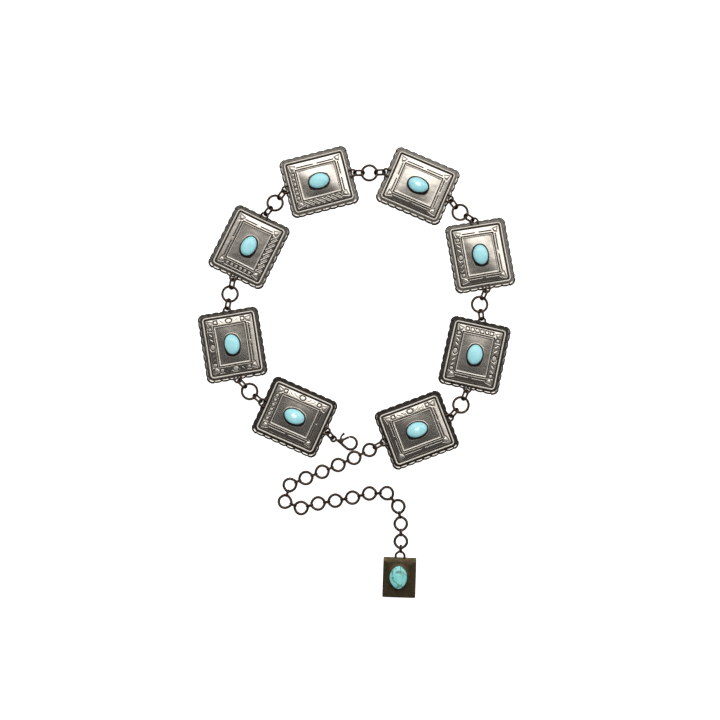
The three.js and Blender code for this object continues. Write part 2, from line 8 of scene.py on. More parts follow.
import bpy
import numpy as np
from bpy.props import FloatProperty, FloatVectorProperty, PointerProperty
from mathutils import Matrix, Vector

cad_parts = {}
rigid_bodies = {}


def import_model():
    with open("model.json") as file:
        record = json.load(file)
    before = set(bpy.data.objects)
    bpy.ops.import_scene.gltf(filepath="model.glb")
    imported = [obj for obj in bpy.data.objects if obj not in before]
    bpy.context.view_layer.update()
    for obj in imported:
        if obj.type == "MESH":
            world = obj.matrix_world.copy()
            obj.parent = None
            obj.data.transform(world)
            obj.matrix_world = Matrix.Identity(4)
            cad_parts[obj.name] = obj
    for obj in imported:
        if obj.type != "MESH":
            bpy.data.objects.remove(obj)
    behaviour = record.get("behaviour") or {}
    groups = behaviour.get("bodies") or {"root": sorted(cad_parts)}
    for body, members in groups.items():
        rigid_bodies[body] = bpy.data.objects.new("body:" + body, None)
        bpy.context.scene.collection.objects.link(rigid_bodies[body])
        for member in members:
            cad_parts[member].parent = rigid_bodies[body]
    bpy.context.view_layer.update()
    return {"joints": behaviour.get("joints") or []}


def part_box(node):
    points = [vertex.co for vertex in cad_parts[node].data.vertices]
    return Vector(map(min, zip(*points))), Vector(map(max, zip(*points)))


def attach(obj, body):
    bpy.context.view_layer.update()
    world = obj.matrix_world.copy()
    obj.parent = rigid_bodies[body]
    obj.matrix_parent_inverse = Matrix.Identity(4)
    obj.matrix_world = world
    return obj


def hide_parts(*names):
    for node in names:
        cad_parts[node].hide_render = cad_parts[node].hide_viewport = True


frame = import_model()

bl_info = {
    "name": "Concho Belt",
    "version": (1, 0, 0),
    "blender": (4, 5, 0),
    "location": "View3D > Sidebar > Belt",
    "description": "Adds the detailed pieces of a concho belt over its plain solids",
    "category": "Add Mesh",
}

MM = 0.001

# Headings that the pieces lie on, in degrees from +X, as the plain solids have them
CONCHO_HEADINGS = (156, 99.5, 64, 14.5, -23.5, -80.5, -102.5, -159.5)
RING_LINK_HEADINGS = ((139, 134), (80, 79), (51, 52), (0, 3), (-52.5, -33), (-114, -82.5),
                      (-112.5, -131.5))
CHAIN_HEADINGS = (208, 207, 204, 203, 201, 203, 254, -21, 15, 9, 10, 14, 1, -49, -82, -90)
PENDANT_LINK_HEADING = -95
PENDANT_HEADING = -92
CLASP_LINK_HEADING = -48
CLASP_HEADING = -14

# Conchos, in millimetres. Distances run inward from the rim
UNDERSIDE = np.array([  # distance and height of the rows below the rim
    (9.0, 0.0), (1.5, 0.0), (0.4, 0.0), (0.08, 0.12), (0.0, 0.35), (0.0, 0.6)])
RELIEF = np.array([  # distance and height
    (0.0, 0.6), (0.3, 1.1), (0.8, 1.85), (1.1, 2.15), (1.5, 2.25), (1.9, 2.1), (2.4, 1.9),
    (3.0, 2.1), (3.8, 2.75), (4.35, 3.5), (4.6, 3.82), (4.85, 3.9), (5.1, 3.78), (5.45, 2.9),
    (6.6, 2.8), (6.85, 3.3), (7.05, 3.46), (9.6, 3.86), (12.5, 4.12), (12.8, 4.02), (13.0, 3.5),
    (13.45, 3.48), (13.65, 4.35), (13.9, 4.6), (14.35, 4.56), (14.6, 4.32), (15.0, 4.3),
])
SOFTENING = np.linspace(-0.12, 0.12, 9)  # each way that the stamping rounds an edge
TOP_ROWS = (  # start, end and number of the rows of each stretch of the relief
    (0, 2.4, 12), (2.4, 4.2, 5), (4.2, 5.5, 9), (5.5, 7.1, 9), (7.1, 12.7, 23), (12.7, 15.0, 16))
CORNER_RADII = np.array([(0, 6.0), (3.4, 4.4), (4.9, 2.2), (6.6, 0.8), (14.6, 0.35)])
RIM_WIDTH = 2.4  # of the fluted rim
FLUTE_SWELL = 0.6  # height of a flute over the gap beside it
WANDER = 0.16  # how far the stamped lines stray
BAND = (6.9, 12.7)  # stamped border
RIDGE, FRAME_LINE = (4.4, 5.2), (13.85, 14.35)  # bright lines round the border and the plate
GROOVES = ((5.55, 6.75), (12.9, 13.45))  # blackened lines
PLATE_TOP = 4.3
STONE_BASE = 4.58
# Black halo: painted shade over the bezel round the stone; shadow: painted shadow on the stone's
# front side
BEZEL = np.array([  # share of the stone's oval, margin round the stone, rise, black halo, shadow
    (0.15, 3.8, 0, 0, 0), (0.3, 3.1, 0, 0, 0), (0.45, 2.4, 0, 0, 0), (0.6, 1.8, 0, 0, 0),
    (0.75, 1.4, 0, 0.05, 0.35), (0.88, 1.1, 0, 0.3, 0.85), (1, 0.86, 0, 0.95, 1),
    (1, 0.8, 0.5, 0.95, 1), (1, 0.74, 1.0, 0.95, 1), (1, 0.66, 1.26, 0.9, 1),
    (1, 0.54, 1.38, 0.8, 1), (1, 0.44, 1.32, 0.85, 1), (1, 0.38, 1.1, 0.95, 1), (1, 0.3, 0.5, 1, 1),
    (1, 0.3, 0.2, 1, 1), (1, -2.0, 0.2, 1, 1)])
BORDER_STYLES = (  # of each concho's four sides, counterclockwise from its leading end
    (1, 2, 2, 0), (0, 0, 0, 2), (2, 2, 1, 3), (2, 2, 1, 3), (2, 2, 2, 2), (2, 2, 2, 0),
    (2, 0, 1, 0), (2, 2, 2, 0))
# A rim's blackening is oxide in the cove and on the flutes, plus painted shade: heavier on the
# conchos towards -Y, away from the softbox, and lighter on those towards +Y
CONCHO_MAKES = (  # of each concho: slope of its top, bulge of its plate and blackening of its rim
    (-0.0015, 1.0, 0.84), (0.004, 1.0, 0.76), (0.0105, 0.35, 0.73), (0.004, 1.8, 0.66),
    (-0.0075, 1.0, 0.62), (0.0025, 1.4, 0.67), (0.0065, 1.0, 0.8), (0.0065, 1.0, 0.88))
SLOPE_HEADING = 76  # degrees from +X, the way that the tops slope
EYE_REACH = 31.2  # from a concho's middle to the middle of its wire eye's arc
EYE_RADIUS = 3.0
WANDER_SEED, STONE_SEED, CHAIN_SEED = 40, 70, 20

# Wire pieces, in millimetres, with tilts in degrees
SIDE_LINK = (11.2, 7.0)  # length and width over the wire
CLASP_LINK = (9.6, 7.2)
SMALL_LINK = (7.2, 5.3)
PENDANT_LINK = (7.6, 5.5)
SMALL_WIRE = 1.45  # thickness of a small link's wire
LINK_TILT, SMALL_LINK_TILT = 50, 75
RING_RADIUS, CHAIN_RING_RADIUS = 6.85, 5.4  # to the middle of the wire
CHAIN_PULL = 0.55  # how far the chain's rings are drawn out to their joints
CHAIN_START = 8.6  # from the chain's first link to its first ring
CHAIN_PITCH = 15.406516  # from ring to ring
CHAIN_LEVEL, SMALL_LINK_LEVEL = 2.61, 2.71  # heights of the wire's middle

# Clasp, in millimetres from the middle of its tail eye
CLASP_PIN = 7.0
CLASP_NECK = np.array([(2.3, 0.0), (4.2, -0.45), (5.85, -1.15), (8.15, -2.3), (10.4, -3.7)])
HOOK_MIDDLE, HOOK_RADIUS, HOOK_NOSE = 15.6, 5.6, math.radians(117)
HOOK_HALF_WIDTHS = ((0, 0.12, 0.3, 1), (1.05, 1.3, 1.2, 1.05))  # by the share of its length
GATE_HALF_WIDTHS = (1.05, 1.0, 0.95)
LEVER_HALF_WIDTHS = (0.85, 0.8, 1.2)
GATE_HALF_HEIGHT = 0.6
GATE_GAP = 0.1  # between the gate's end and the nose's middle line

# Pendant, in millimetres
PENDANT_HALF_SIZES, PENDANT_TOP = (17.5, 14.5), 2.6
PENDANT_ROWS = np.array([  # distance inward and height
    (6.0, 0.0), (0.5, 0.0), (0.1, 0.1), (0.0, 0.4), (0.0, 2.0), (0.08, 2.35), (0.35, 2.55),
    (0.7, 2.6), (1.1, 2.6), (3.0, 2.6)])
PENDANT_SEAT = np.array([  # share of the stone's oval, margin round the stone and rise
    (0.6, 1.6, 0.0), (1.0, 0.9, 0.0), (1.0, 0.8, 0.03), (1.0, 0.7, 0.08), (1.0, 0.6, 0.12),
    (1.0, 0.5, 0.14), (1.0, 0.4, 0.12), (1.0, 0.3, 0.1), (1.0, 0.3, 0.05), (1.0, -2.0, 0.05)])
PENDANT_BEND = (0.62, 13.2, 17.6)  # drop of the top end, and where it starts and ends
PENDANT_STONE = (10.1, 7.7, 3.3)  # half length, half width and height
PENDANT_STONE_BASE = 2.9
STONE_SHIFT = -0.9  # of the pendant's stone from the plate's middle line
LOOP_HALF_WIDTH, LOOP_PLACE, LOOP_LEVEL = 3.9, 19.1, 2.63

# Stage
FLOOR_HALF, FLOOR_DROP = 3.0, 0.0002
MIRRORED_FLOOR = (0.22, 0.21, 0.195, 1.0)
STONE_LIGHT = ((0.1, 0.2, 1.6), 1.2, 14.0)  # place, size and watts
GLINT_SIZE = 0.1
GLINTS = (  # number of a stone, place of the lamp that it mirrors and the lamp's watts
    (1, (-0.1, 0.075, 1.0), 2.2), (5, (0.1, 0.44, 1.0), 2.6), (8, (0.092, 0.03, 1.0), 0.7))
CAMERA_TARGET = (0.0029, 0.00755, 0.0035)


def metres(name, default, description):
    """Setting for a length."""
    return FloatProperty(name=name, description=description, default=default,
                         subtype="DISTANCE", unit="LENGTH")


def tint(name, default, description):
    """Setting for a colour."""
    return FloatVectorProperty(name=name, description=description, default=default,
                               min=0, max=1, size=3, subtype="COLOR")


class BeltSizes(bpy.types.PropertyGroup):
    """Sizes of the belt's pieces"""

    concho_length: metres(
        "Concho length", 0.063, "Length of a concho along the belt, over its scallops")
    concho_width: metres(
        "Concho width", 0.0552, "Width of a concho across the belt, over its scallops")
    flute_pitch: metres("Flute pitch", 0.007, "Distance between the flutes along a concho's rim")
    flute_depth: metres("Flute depth", 0.0008, "How far the rim is cut in between two flutes")
    crown: metres("Crown", 0.0004, "How far a concho's plate bulges round its stone")
    stamp_depth: metres("Stamp depth", 0.00028, "Depth of the marks stamped into the border")
    stone_length: metres("Stone length", 0.018, "Length of an oval stone")
    stone_width: metres("Stone width", 0.013, "Width of an oval stone")
    stone_height: metres("Stone height", 0.00404, "Height of an oval stone's dome")
    ring_wire: metres("Ring wire", 0.0022, "Thickness of the wire of a ring between two conchos")
    link_wire: metres("Link wire", 0.0019, "Thickness of the wire of an oval link")
    chain_wire: metres(
        "Chain wire", 0.0023, "Thickness of the wire of the extension chain's round links")


class BeltFinishes(bpy.types.PropertyGroup):
    """Colours of the belt's finishes"""

    silver: tint("Silver", (0.7, 0.665, 0.615), "Colour of the polished silver")
    # The polished colour is also that of painted highlights on the ridge, the frame, the raised
    # marks and the front's flutes
    polished: tint(
        "Polished edges", (0.93, 0.88, 0.8), "Colour of the edges and marks that wear bright")
    tarnish: tint("Tarnish", (0.6, 0.565, 0.515), "Colour of the silver where it has dulled")
    # The oxide colour also paints shade round the stones, along the conchos' outlines and rims, and
    # under the conchos
    oxide: tint("Oxide", (0.018, 0.014, 0.011), "Colour of the blackened recesses")
    wire: tint("Wire", (0.085, 0.06, 0.046), "Colour of the dark wire of rings, links and chain")
    rubbed_wire: tint(
        "Rubbed wire", (0.21, 0.15, 0.115), "Colour of the wire where its dark finish is rubbed")
    plate: tint("Pendant plate", (0.088, 0.079, 0.043), "Colour of the pendant's dark plate")
    plate_clouds: tint(
        "Pendant clouds", (0.2, 0.122, 0.08), "Colour of the clouds on the pendant's dark plate")
    turquoise: tint("Turquoise", (0.34, 0.74, 0.81), "Colour of the stones in the conchos")
    pendant_turquoise: tint(
        "Pendant turquoise", (0.2, 0.62, 0.6), "Colour of the pendant's stone")


class BeltStage(bpy.types.PropertyGroup):
    """Camera and light"""

    camera_elevation: FloatProperty(
        name="Camera elevation", description="Height of the camera above the floor, as an angle",
        default=math.radians(84), subtype="ANGLE", unit="ROTATION")
    camera_distance: metres(
        "Camera distance", 1.3, "Distance from the camera to the middle of the picture")
    picture_width: metres(
        "Picture width", 0.6416, "Width of floor that the picture shows at its middle")
    softbox_strength: FloatProperty(
        name="Softbox strength", description="Brightness of the big soft light behind the belt",
        default=2.4, min=0)
    wall_strength: FloatProperty(
        name="Wall strength", description="Brightness of the walls beyond the belt and beside it",
        default=0.34, min=0)
    overhead_strength: FloatProperty(
        name="Overhead strength", description="Brightness of the dark ceiling over the belt",
        default=0.07, min=0)


# Surfaces

def turns(count):
    """Angles of equal steps round a full turn."""
    return 2 * np.pi * np.arange(count) / count


def skin(points, looped=False):
    """Closed shell over rows of points that are loops. The rows close on themselves when looped, or
    else a fan to its mean closes the first and the last row. The sign of the shell's volume turns
    its faces outward."""
    rows, columns, _ = points.shape
    index = np.arange(rows * columns).reshape(rows, columns)
    low = index if looped else index[:-1]
    high = np.roll(index, -1, 0) if looped else index[1:]
    quads = np.stack([low, np.roll(low, -1, 1), np.roll(high, -1, 1), high], -1).reshape(-1, 4)
    corners = points.reshape(-1, 3)
    fans = np.zeros((0, 3), int)
    if not looped:
        first, last = index[0], index[-1]
        bottom = np.full(columns, len(corners))
        fans = np.concatenate([np.stack([bottom, np.roll(first, -1), first], -1),
                               np.stack([bottom + 1, last, np.roll(last, -1)], -1)])
        corners = np.concatenate([corners, [points[0].mean(0), points[-1].mean(0)]])
    triangles = np.concatenate([quads[:, [0, 1, 2]], quads[:, [0, 2, 3]], fans])
    a, b, c = (corners[triangles[:, k]] for k in range(3))
    if np.einsum("ij,ij->", a, np.cross(b, c)) < 0:
        quads = quads[:, ::-1]
        fans = fans[:, ::-1]
    return corners, quads, fans


def turned(points, centre, heading=0.0, tilt=0.0):
    """Points tilted about X by t degrees, then turned about Z the same way, then moved to a centre:
    x' = x, y' = y cos t - z sin t, z' = y sin t + z cos t."""
    x, y, z = points[..., 0], points[..., 1], points[..., 2]
    tip, turn = math.radians(tilt), math.radians(heading)
    y, z = y * math.cos(tip) - z * math.sin(tip), y * math.sin(tip) + z * math.cos(tip)
    x, y = x * math.cos(turn) - y * math.sin(turn), x * math.sin(turn) + y * math.cos(turn)
    return np.stack([x, y, z], -1) + np.array(centre)


def placed(shell, centre, heading):
    """Shell turned and moved to its place."""
    return turned(shell[0], centre, heading), shell[1], shell[2]


def heading_step(distance, heading):
    """Step over the floor along a heading in degrees."""
    turn = math.radians(heading)
    return distance * np.array([math.cos(turn), math.sin(turn)])


def level_path(x, y, level=0.0):
    """Path through the points x, y at one height."""
    return np.stack([x, y, np.full(len(x), level)], 1)


def round_path(radius, angle):
    """Level path round the origin, at a radius for each angle."""
    return level_path(radius * np.cos(angle), radius * np.sin(angle))


def swept(path, half_width, half_height, sides, looped):
    """Bar along a level path: across each point it is an ellipse, half width times cos t to the
    side plus half height times sin t upward."""
    if looped:
        ahead = np.roll(path, -1, 0) - np.roll(path, 1, 0)
    else:
        ahead = np.gradient(path, axis=0)
    ahead = ahead / np.linalg.norm(ahead, axis=1, keepdims=True)
    side = np.stack([-ahead[:, 1], ahead[:, 0], np.zeros(len(path))], 1)
    wide = np.broadcast_to(half_width, len(path))[:, None] * np.cos(turns(sides))
    tall = np.broadcast_to(half_height, len(path))[:, None] * np.sin(turns(sides))
    return path[:, None] + side[:, None] * wide[..., None] + np.array([0, 0, 1]) * tall[..., None]


def rounded_bar(path, half_width, half_height, sides, end):
    """Bar along a level path with round ends: the path is taken at distances that crowd into the
    ends, where its size falls as the square root of 1 - (1 - distance / end) squared."""
    steps = np.linalg.norm(np.diff(path, axis=0), axis=1)
    reached = np.concatenate([[0], np.cumsum(steps)])
    quarter = np.linspace(0, np.pi / 2, 7)[1:]
    crowded = end * (1 - np.cos(quarter))
    middle = np.linspace(end, reached[-1] - end, len(path))[1:-1]
    distance = np.concatenate([crowded, middle, reached[-1] - crowded[::-1]])
    share = np.concatenate([np.sin(quarter), np.ones(len(middle)), np.sin(quarter)[::-1]])
    even = np.stack([np.interp(distance, reached, path[:, k]) for k in range(3)], 1)
    at = distance / reached[-1]
    width = np.interp(at, np.linspace(0, 1, np.size(half_width)), np.atleast_1d(half_width))
    height = np.interp(at, np.linspace(0, 1, np.size(half_height)), np.atleast_1d(half_height))
    return skin(swept(even, width * share, height * share, sides, False))


def smooth_step(value, start, end):
    """0 before start, 1 after end and 3 t squared - 2 t cubed between."""
    t = np.clip((value - start) / (end - start), 0, 1)
    return t * t * (3 - 2 * t)


def within(value, low, high, soft):
    """1 between low and high, falling smoothly to 0 over a soft width outside."""
    return smooth_step(value, low - soft, low) * (1 - smooth_step(value, high, high + soft))


def rectangle_columns(half_x, half_y, short_count, long_count):
    """Columns round a rectangle, counterclockwise from the right side's lower corner: the side that
    each is on, its share of the way from the side's middle to its ends, from -1 to 1, the side's
    distance from the middle and half its length."""
    counts = (short_count, long_count, short_count, long_count)
    side = np.repeat(np.arange(4), counts)
    share = np.concatenate([2 * np.arange(count) / count - 1 for count in counts])
    ends = side % 2 == 0
    return side, share, np.where(ends, half_x, half_y), np.where(ends, half_y, half_x)


def border_loops(inset, radius, reach, half, share):
    """Loops of a rectangle with round corners, for each inset and column. A column runs straight
    for |share| half < half - radius; past that it turns by an angle a of 45 degrees at the corner,
    out = reach - radius + radius cos a, along = half - radius + radius sin a."""
    end = half - inset
    along = np.abs(share) * end
    straight = end - radius
    angle = np.pi / 4 * np.clip(along - straight, 0, None) / radius
    out = reach - inset - radius * (1 - np.cos(angle))
    along = np.minimum(along, straight) + radius * np.sin(angle)
    return out, np.sign(share) * along


def on_sides(out, along, side):
    """Points out from the middle and along a side, a quarter turn further for each side."""
    turn = side * np.pi / 2
    return out * np.cos(turn) - along * np.sin(turn), out * np.sin(turn) + along * np.cos(turn)


def drawn_in(x, y, oval_x, oval_y, rows, shift=0.0):
    """Loops that change from a rectangle's to those of an oval with a margin round it: each row has
    the oval's share and the margin, and the oval is shifted along Y."""
    share, margin = rows[:, 0, None], rows[:, 1, None]
    growth = 1 + margin / np.hypot(oval_x, oval_y)
    return (x * (1 - share) + share * oval_x * growth,
            y * (1 - share) + share * (oval_y * growth + shift))


def dome_shell(outline_x, outline_y, height):
    """Dome over an outline: at an angle a the outline shrinks by cos a to the power 0.72 and the
    height is a low girdle plus sin a times the rest."""
    rise = np.linspace(0, np.pi / 2, 22)[:-1]
    girdle = 0.16
    scale = np.concatenate([[0.92, 0.985, 1.01], 1.012 * np.cos(rise) ** 0.72])[:, None]
    level = np.concatenate([[0, 0, 0.05], girdle + (1 - girdle) * np.sin(rise)])[:, None] * height
    return np.stack([outline_x * scale, outline_y * scale, level + 0 * outline_x], -1)


def add_stone(name, node, outline, height, base, heading, material):
    """Domed stone on an outline, with all but the heading in millimetres."""
    centre = node_middle(node) * (1, 1, 0) + (0, 0, base * MM)
    dome = dome_shell(outline[0] * MM, outline[1] * MM, height * MM)
    make_piece(name, [skin(turned(dome, centre, heading))], shared_material(material), "belt",
               [node])


def disc_shell(radius, thickness, centre):
    """Round disc in millimetres with rounded edges: rings whose radius and height follow a quarter
    circle at the top and the bottom edge."""
    edge = min(0.25, thickness / 2)
    quarter = np.linspace(0, np.pi / 2, 5)
    out = radius - edge + edge * np.concatenate([np.sin(quarter), np.cos(quarter)])
    up = np.concatenate([-thickness / 2 + edge * (1 - np.cos(quarter)),
                         thickness / 2 - edge * (1 - np.sin(quarter))])
    angle = turns(32)
    rings = np.stack([out[:, None] * np.cos(angle), out[:, None] * np.sin(angle),
                      up[:, None] + 0 * angle], -1)
    return skin((rings + np.array(centre)) * MM)


def make_piece(name, shells, material, body, nodes=(), marks=None):
    """One object from closed shells of corners, quads and fans. Marks are values for the first
    shell's corners, by name, that the material reads."""
    corners, faces, start = [], [], 0
    for shell_corners, quads, fans in shells:
        corners.append(shell_corners)
        faces += (quads + start).tolist() + (fans + start).tolist()
        start += len(shell_corners)
    mesh = bpy.data.meshes.new(name)
    mesh.from_pydata(np.concatenate(corners).tolist(), [], faces)
    mesh.polygons.foreach_set("use_smooth", np.ones(len(faces), bool))
    for mark, given in (marks or {}).items():
        values = np.zeros(start)
        values[:len(given)] = given
        mesh.attributes.new(mark, "FLOAT", "POINT").data.foreach_set("value", values)
    mesh.materials.append(material)
    mesh.update()
    piece = bpy.data.objects.new(name, mesh)
    bpy.context.scene.collection.objects.link(piece)
    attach(piece, body)
    if nodes:
        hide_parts(*nodes)


def make_wire(name, shells, nodes=(), body="belt"):
    """One object of dark wire."""
    make_piece(name, shells, shared_material("dark wire"), body, nodes)


def make_link(node, points, heading=0.0, tilt=0.0):
    """One ring or link of dark wire in place of a plain one."""
    shell = skin(turned(points, node_middle(node), heading, tilt), True)
    make_wire(f"wire_{node}", [shell], [node])


def node_middle(node):
    """Middle of a plain solid's box."""
    low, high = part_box(node)
    return np.array((low + high) / 2)


# Conchos

def flute_lobes(along, half, pitch, corner):
    """Swelling of the rim's flutes, 1 - |2 f - 1| to the power 2.4 for the fraction f of a pitch,
    and 1 on the plain corners."""
    straight = 2 * (half - corner)
    count = np.round(straight / pitch)
    place = (along / straight + 0.5) * count
    fraction = place - np.floor(place)
    lobe = 1 - np.abs(2 * fraction - 1) ** 2.4
    return np.where(np.abs(along) < straight / 2, lobe, 1.0)


def mark_edge(inside):
    """Share and dark outline of a mark, from the distance inside its edge."""
    return smooth_step(inside, -0.3, 0.3), 1 - smooth_step(np.abs(inside + 0.1), 0.2, 0.62)


def stamped_marks(along, across, corner, style):
    """Stamped border in millimetres: along from each side's middle, across from 0 at the band's
    outer edge to 1 at its inner one, and how far the inner frame's corner is from the middle. Each
    mark is the distance inside its edge, as the least of a few sloping planes. Style 0 is a bead
    between squares and dashes, 1 a row of blocks, 2 a long line and 3 slanting bars; a kite on the
    corner's diagonal ends them all. Returns how raised and how blackened each point is."""
    place = np.abs(along)
    width = BAND[1] - BAND[0]
    depth = across * width
    from_middle = np.abs(depth - width / 2)
    mixed, row, plain, slanting = (style == kind for kind in range(4))

    bead_half_length, bead_half_width, square_half = 2.6, 2.0, 1.5
    bead = 2.2 * (1 - np.hypot(place / bead_half_length, from_middle / bead_half_width))
    square = square_half - np.maximum(np.abs(place - (corner - 2.7)), from_middle)
    reach = place < corner - 1.2
    block_half, block_pitch = 1.45, 4.4
    off_block = np.abs(np.mod(along, block_pitch) - block_pitch / 2)
    block = np.where(reach, block_half - np.maximum(off_block, from_middle), -1)
    bar_half, bar_half_length, bar_pitch = 0.95, 2.2, 5.2
    off_bar = np.abs(np.mod(along + 1.3 * depth, bar_pitch) - bar_pitch / 2)
    bar = np.where(reach, np.minimum(bar_half - off_bar, bar_half_length - from_middle), -1)
    beyond = place - corner
    diagonal = (beyond + width - depth) / 2
    off = np.abs(width - depth - beyond)
    kite = np.minimum(0.6 * (4.3 - diagonal) - 0.5 * off, 0.8 * (diagonal - 0.8) - 0.15 * off)

    chosen = np.select([mixed, row, slanting], [np.maximum(bead, square), block, bar], -1.0)
    share, outline = mark_edge(chosen)
    kite_share, kite_outline = mark_edge(kite)
    slant = np.mod(place + 0.9 * depth, 4.3)
    dash = within(slant, 0.7, 1.4, 0.3) * within(from_middle, -1, 1.0, 0.3)
    panel = (place > 3.2) * (place < corner - 4.8) * mixed
    line = within(depth, 3.9, 4.3, 0.35) * within(place, 2.0, corner - 1.5, 0.4) * plain
    dark = np.maximum.reduce([outline, 0.6 * kite_outline, 0.5 * dash * panel, line])
    return np.maximum(share, 0.7 * kite_share), dark


def concho_shell(sizes, number):
    """Concho along X. Its rows go from the flat back over the fluted rim and the stamped relief to
    the bezel: distance and height follow RELIEF, the rim's rows are cut in between flutes, and the
    plate's rows change from a rectangle to the stone's oval. Returns the points, how blackened each
    of them is, with oxide and painted shade, and how polished, with painted highlights."""
    half_x, half_y = sizes.concho_length / 2 / MM, sizes.concho_width / 2 / MM
    side, share, reach, half = rectangle_columns(half_x, half_y, 112, 128)
    level = np.zeros(len(side))
    slope, bulge, rim_oxide_and_shade = CONCHO_MAKES[number - 1]
    front = np.radians(CONCHO_HEADINGS[number - 1]) + np.pi / 2

    rows = np.concatenate([np.linspace(low, high, count, endpoint=False)
                           for low, high, count in TOP_ROWS] + [[TOP_ROWS[-1][1]]])
    relief = np.interp(rows[:, None] + SOFTENING, RELIEF[:, 0], RELIEF[:, 1]).mean(1)
    inset = np.concatenate([UNDERSIDE[:, 0], rows])[:, None]
    height = np.concatenate([UNDERSIDE[:, 1], relief])[:, None] + level
    top = (np.arange(len(inset)) >= len(UNDERSIDE))[:, None]
    radius = np.interp(inset, CORNER_RADII[:, 0], CORNER_RADII[:, 1])

    # The stamping wanders a little from concho to concho
    wander = np.random.default_rng(WANDER_SEED + number).uniform(0, 2 * np.pi, (4, 2))
    round_share = (side + (share + 1) / 2) / 4
    waves = (np.sin(2 * np.pi * round_share * k + wander[k - 1, 0]) / k for k in range(1, 5))
    shift = sum(waves) * WANDER * smooth_step(inset, 1.5, 4)
    out, along = border_loops(inset + shift, radius, reach, half, share)

    # Flutes: the rim is cut in and lower between them
    lobe = flute_lobes(along, half, sizes.flute_pitch / MM, CORNER_RADII[0, 1])
    out = out - sizes.flute_depth / MM * (1 - lobe) * (1 - smooth_step(inset, 0.7, 2.0))
    swell = np.sin(np.pi * np.clip(inset / RIM_WIDTH, 0, 1)) ** 0.7
    on_flutes = top * (inset < RIM_WIDTH)
    height = height + on_flutes * swell * FLUTE_SWELL * (lobe - 0.9)

    # Black between the flutes, along the outline and below the ridge: oxide in the hollows, with
    # painted shade along the outline and on the rims of the conchos away from the softbox. Bright
    # on the ridge and the frame, polished edges painted brighter as highlights, and a painted
    # reflection of the floor on the front's flutes
    between = np.clip(1.7 * (1 - lobe), 0, 1) * swell * (inset < 1.9)
    # Oxide and painted shade: black on the underside and along the outer edge, where the rim meets
    # the floor
    outline = 1 - smooth_step(inset, 0.8, 1.2) * top
    # Oxide and painted shade on the cove, by the concho's rim blackening
    cove = top * within(inset, 2.2, 4.1, 0.25) * rim_oxide_and_shade
    between = on_flutes * np.maximum(between, rim_oxide_and_shade)
    black = np.max([between, outline + level, cove + level], axis=0)
    # Painted reflection of the floor on the front's flutes, those facing -Y: they lose most of
    # their black and are painted bright
    facing = np.clip(np.cos(side * np.pi / 2 + front), 0, 1)
    rubbed_and_glint = top * facing * (lobe > 0.6) * within(inset, 1.35, 1.9, 0.2)
    black = black * (1 - 0.9 * rubbed_and_glint)
    bright = top * (within(inset, *RIDGE, 0.25) + 0.6 * within(inset, *FRAME_LINE, 0.25))

    # Stamped border between its grooves
    across = (inset - BAND[0]) / (BAND[1] - BAND[0])
    style = np.array(BORDER_STYLES[number - 1])[side]
    raised, dark = stamped_marks(along, across, half - BAND[1], style)
    in_band = top * within(across, 0.0, 1.0, 0.02)
    height = height + in_band * sizes.stamp_depth / MM * (1.1 * raised - dark)
    black = np.max([black, in_band * dark, in_band * 0.3 * (1 - raised)], axis=0)
    # Polished places, painted brighter by the material as highlights: the ridge and frame lines,
    # the raised marks, and the painted floor reflection on the front's flutes
    polish_and_highlight = np.max([bright + level, rubbed_and_glint, in_band * 0.5 * raised * (1 - dark)], axis=0)
    for low, high in GROOVES:
        black = np.maximum(black, top * within(inset, low, high, 0.15) + level)

    # Plate and bezel, with painted shade round the stone and a painted shadow that widens it
    # towards the front
    x, y = on_sides(out, along, side)
    angle = np.arctan2(y[-1] * half_x, x[-1] * half_y)
    inner_x, inner_y = drawn_in(x[-1], y[-1], *stone_outline(angle, sizes, number), BEZEL)
    rise, halo, shadow = (BEZEL[:, k, None] for k in (2, 3, 4))
    crown = (1 - (inner_x / x[-1].max()) ** 2) * (1 - (inner_y / y[-1].max()) ** 2)
    uneven = 1 + 0.05 * np.sin(7 * angle + wander[0, 0]) + 0.04 * np.sin(12 * angle + wander[1, 0])
    inner_z = PLATE_TOP + rise * uneven + np.where(rise == 0, bulge * sizes.crown / MM * crown, 0)
    halo = np.maximum(halo, shadow * np.clip(1.3 * np.cos(angle + front), 0, 1))

    x, y = np.concatenate([x, inner_x]), np.concatenate([y, inner_y])
    z = np.concatenate([height, inner_z])
    aim = math.radians(SLOPE_HEADING - CONCHO_HEADINGS[number - 1])
    z = z + slope * (x * math.cos(aim) + y * math.sin(aim)) * smooth_step(z, 0.4, 2.0)
    black = np.concatenate([black, halo])
    polish_and_highlight = np.concatenate([polish_and_highlight, 0 * halo])
    marks = {"oxide_and_shade": np.append(black.ravel(), [0, 1]),
             "polish_and_highlight": np.append(polish_and_highlight.ravel(), [0, 0])}
    return np.stack([x, y, z], -1) * MM, marks


def stone_outline(angle, sizes, number):
    """Outline of a stone by angle, in millimetres: an ellipse whose radius is uneven by
    0.014 sin(2 t + p) + 0.012 sin(3 t + q), with its own phases for each stone."""
    phase = np.random.default_rng(STONE_SEED + number).uniform(0, 2 * np.pi, 2)
    uneven = 1 + 0.014 * np.sin(2 * angle + phase[0]) + 0.012 * np.sin(3 * angle + phase[1])
    x = sizes.stone_length / 2 / MM * np.cos(angle) * uneven
    y = sizes.stone_width / 2 / MM * np.sin(angle) * uneven
    return x, y


# Wire pieces

def arch_path(leg, leg_steps, rise, half_width, arc):
    """Arch of a rise by angle, y = half width times sin t, between two legs of one length."""
    legs = np.linspace(-leg, 0, leg_steps + 1)[:-1]
    x = np.concatenate([legs, rise, legs[::-1]])
    ends = np.full(leg_steps, half_width)
    return x, np.concatenate([-ends, half_width * np.sin(arc), ends])


